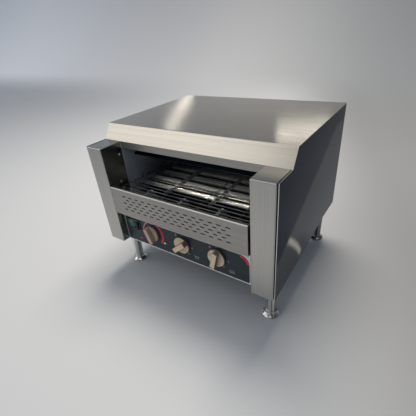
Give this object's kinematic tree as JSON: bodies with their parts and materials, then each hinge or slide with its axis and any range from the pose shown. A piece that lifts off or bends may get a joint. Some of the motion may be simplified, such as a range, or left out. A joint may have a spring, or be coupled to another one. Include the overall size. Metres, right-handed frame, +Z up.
{
  "type": "conveyor toaster",
  "caption": "Countertop conveyor toaster with a wire belt between two quartz heater banks, a perforated front guard, rotary controls, a sloped hood and screw-in feet.",
  "frame": {"origin": "on the floor under the middle of the whole toaster, feet included", "axes": "+X to the right seen from the front, +Y to the back, +Z up"},
  "size_m": [0.475, 0.41, 0.391],
  "materials": {
    "casing_steel": "brushed",
    "inner_steel": "satin",
    "guard_steel": "satin",
    "reflector": "satin",
    "tray": "satin",
    "film": "satin",
    "black_plastic": "matte",
    "rocker": "gloss",
    "knob": "satin",
    "shaft_steel": "satin",
    "control_body": "matte",
    "switch_body": "matte",
    "quartz": "satin",
    "caps": "matte",
    "sprocket_steel": "satin",
    "bush": "satin",
    "wire": "satin",
    "gearbox": "matte",
    "motor": "matte",
    "leg": "polished",
    "screws": "satin"
  },
  "bodies": {
    "casing": {"left_side_panel": "casing_steel", "right_side_panel": "casing_steel", "hood_cover": "casing_steel", "rear_panel": "casing_steel", "left_post": "casing_steel", "right_post": "casing_steel", "opening_header": "casing_steel", "control_panel": "casing_steel", "left_chamber_wall": "inner_steel", "right_chamber_wall": "inner_steel", "base_plate": "inner_steel", "heat_shield": "inner_steel", "toast_slide": "inner_steel", "front_guard": "guard_steel", "upper_reflector": "reflector", "lower_reflector": "reflector", "control_film": "film", "power_switch": "black_plastic", "fan_frame": "black_plastic", "cable_gland": "black_plastic", "belt_support_bars": "shaft_steel", "speed_control": "control_body", "top_heat_switch": "switch_body", "bottom_heat_switch": "switch_body", "terminal_block": "switch_body", "upper_elements": "quartz", "lower_elements": "quartz", "element_caps": "caps", "belt_support_rails": "sprocket_steel", "shaft_bushes": "bush", "gearbox": "gearbox", "drive_motor": "motor", "front_left_leg": "leg", "front_right_leg": "leg", "rear_left_leg": "leg", "rear_right_leg": "leg", "case_screws": "screws", "leg_nuts": "screws"},
    "power_rocker_body": {"power_rocker": "rocker"},
    "speed_knob_body": {"speed_knob": "knob", "speed_spindle": "shaft_steel"},
    "top_heat_knob_body": {"top_heat_knob": "knob", "top_heat_spindle": "shaft_steel"},
    "bottom_heat_knob_body": {"bottom_heat_knob": "knob", "bottom_heat_spindle": "shaft_steel"},
    "belt_top": {"belt_top_run": "wire"},
    "belt_bottom": {"belt_bottom_run": "wire"},
    "drive": {"drive_shaft": "shaft_steel", "drive_sprockets": "sprocket_steel", "belt_rear_wrap": "wire"},
    "idler": {"idler_shaft": "shaft_steel", "idler_sprockets": "sprocket_steel", "belt_front_wrap": "wire"},
    "tray": {"crumb_tray": "tray"},
    "fan": {"fan_rotor": "black_plastic"},
    "foot_front_left": {"front_left_foot": "leg"},
    "foot_front_right": {"front_right_foot": "leg"},
    "foot_rear_left": {"rear_left_foot": "leg"},
    "foot_rear_right": {"rear_right_foot": "leg"}
  },
  "joints": [
    {"name": "belt_travel", "type": "slide", "parent": "casing", "child": "belt_top", "axis": [0, 1, 0], "range_m": [0, 0.0127]},
    {"name": "belt_return", "type": "slide", "parent": "casing", "child": "belt_bottom", "axis": [0, 1, 0], "range_m": [-0.0127, 0]},
    {"name": "drive_turn", "type": "hinge", "parent": "casing", "child": "drive", "pos_m": [0, 0.1388, 0.227], "axis": [-1, 0, 0], "range_deg": [0, 30.01]},
    {"name": "idler_turn", "type": "hinge", "parent": "casing", "child": "idler", "pos_m": [0, -0.166, 0.227], "axis": [-1, 0, 0], "range_deg": [0, 30.01]},
    {"name": "power_rocker_tilt", "type": "hinge", "parent": "casing", "child": "power_rocker_body", "pos_m": [-0.155, -0.181, 0.154], "axis": [0, 0, 1], "range_deg": [0, 16]},
    {"name": "speed_turn", "type": "hinge", "parent": "casing", "child": "speed_knob_body", "pos_m": [-0.094, -0.191, 0.144], "axis": [0, 1, 0], "range_deg": [-114, 156]},
    {"name": "top_heat_turn", "type": "hinge", "parent": "casing", "child": "top_heat_knob_body", "pos_m": [0.001, -0.191, 0.144], "axis": [0, 1, 0], "range_deg": [-90, 180]},
    {"name": "bottom_heat_turn", "type": "hinge", "parent": "casing", "child": "bottom_heat_knob_body", "pos_m": [0.096, -0.191, 0.144], "axis": [0, 1, 0], "range_deg": [-55, 215]},
    {"name": "tray_pull", "type": "slide", "parent": "casing", "child": "tray", "axis": [0, -1, 0], "range_m": [0, 0.28]},
    {"name": "fan_spin", "type": "hinge", "parent": "casing", "child": "fan", "pos_m": [0, 0, 0.135], "axis": [0, 0, 1], "continuous": true},
    {"name": "foot_front_left_screw", "type": "hinge", "parent": "casing", "child": "foot_front_left", "pos_m": [-0.2075, -0.15, 0.02], "axis": [0, 0, 1], "continuous": true},
    {"name": "foot_front_right_screw", "type": "hinge", "parent": "casing", "child": "foot_front_right", "pos_m": [0.2075, -0.15, 0.02], "axis": [0, 0, 1], "continuous": true},
    {"name": "foot_rear_left_screw", "type": "hinge", "parent": "casing", "child": "foot_rear_left", "pos_m": [-0.2075, 0.182, 0.02], "axis": [0, 0, 1], "continuous": true},
    {"name": "foot_rear_right_screw", "type": "hinge", "parent": "casing", "child": "foot_rear_right", "pos_m": [0.2075, 0.182, 0.02], "axis": [0, 0, 1], "continuous": true}
  ],
  "couplings": [
    {"joint": "belt_return", "follows": "belt_travel", "ratio": -1},
    {"joint": "drive_turn", "follows": "belt_travel", "rad_per_m": 41.228},
    {"joint": "idler_turn", "follows": "belt_travel", "rad_per_m": 41.228}
  ]
}
